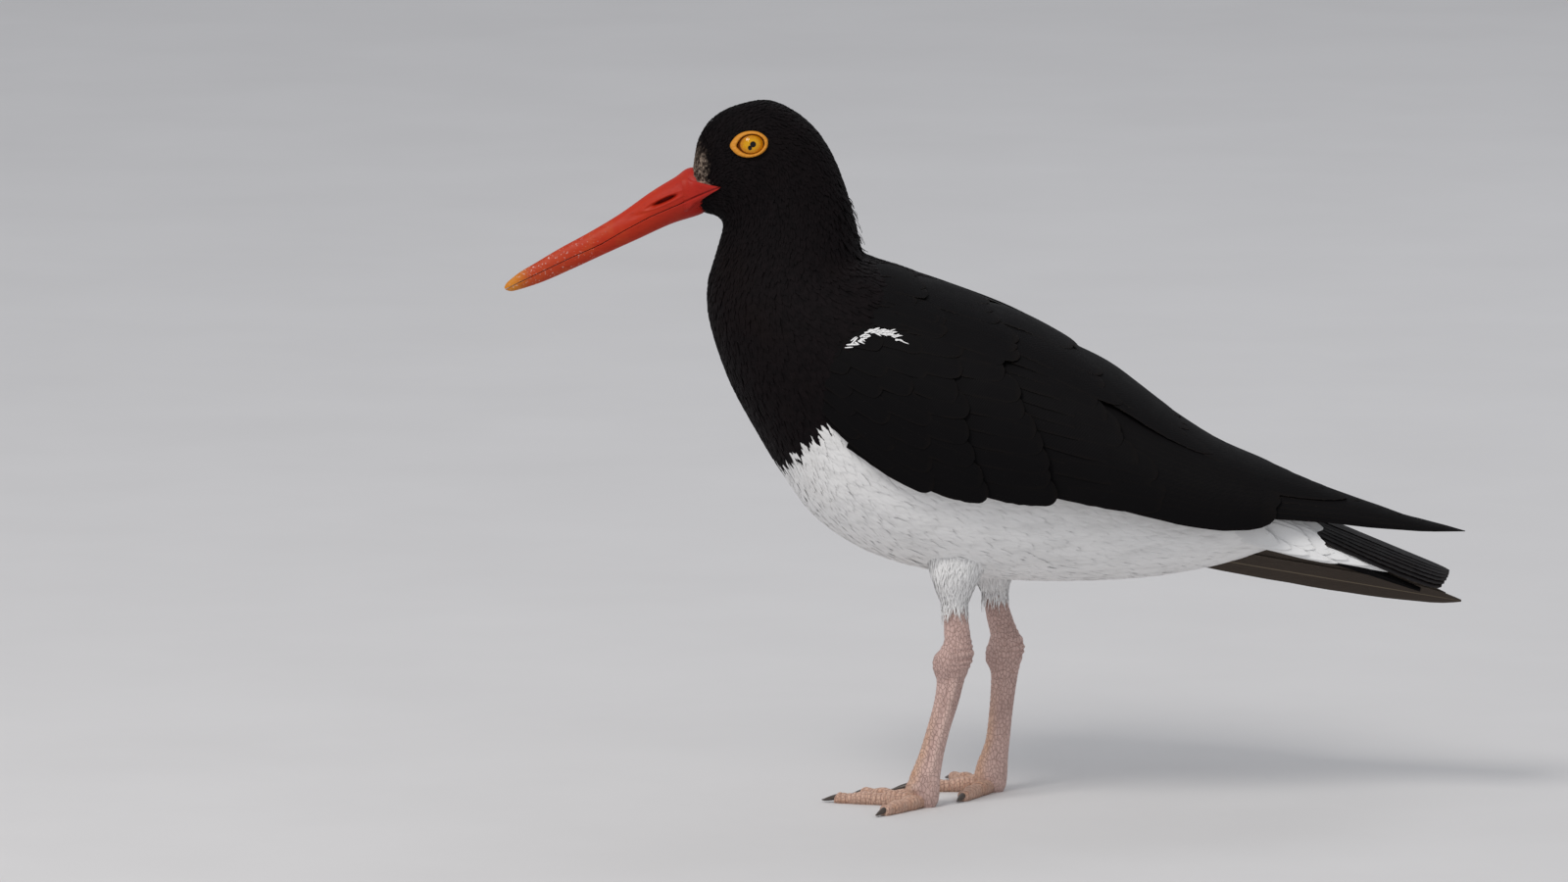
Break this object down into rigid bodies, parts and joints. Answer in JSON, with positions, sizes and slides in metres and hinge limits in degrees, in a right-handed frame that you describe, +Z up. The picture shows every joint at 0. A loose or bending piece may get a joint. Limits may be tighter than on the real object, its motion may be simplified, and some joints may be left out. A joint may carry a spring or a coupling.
{
  "type": "oystercatcher",
  "caption": "Black-and-white wading bird standing still on pale legs, with folded wings, a long straight orange-red bill and a yellow-ringed eye; life size, for wildlife and shore scenes.",
  "frame": {"origin": "on the floor, below the middle of the bird's bounding box", "axes": "-X the way the bird faces, -Y its left side, +Z up"},
  "size_m": [0.3266, 0.0924, 0.2404],
  "materials": {
    "plumage_black": "soft sheen, slightly brown on the wing",
    "plumage_mixed": "black back and breast, white belly, soft",
    "bill": "satin horn, yellower at the worn tip",
    "iris": "wet yellow with a small black pupil",
    "eyelid": "fleshy yellow-orange ring",
    "leg": "pale pink scaled skin",
    "claw": "dark horn"
  },
  "bodies": {
    "root": {"head": "plumage_black", "neck": "plumage_black", "tail": "plumage_black", "wing_left": "plumage_black", "wing_right": "plumage_black", "torso": "plumage_mixed", "thigh_left": "plumage_mixed", "thigh_right": "plumage_mixed", "bill_upper": "bill", "bill_lower": "bill", "eye_left": "iris", "eye_right": "iris", "eyelid_left": "eyelid", "eyelid_right": "eyelid", "shank_left": "leg", "shank_right": "leg", "foot_left": "leg", "foot_right": "leg", "toe_left_middle": "leg", "toe_left_outer": "leg", "toe_left_inner": "leg", "toe_right_middle": "leg", "toe_right_outer": "leg", "toe_right_inner": "leg", "claw_left_middle": "claw", "claw_left_outer": "claw", "claw_left_inner": "claw", "claw_right_middle": "claw", "claw_right_outer": "claw", "claw_right_inner": "claw"}
  },
  "joints": []
}
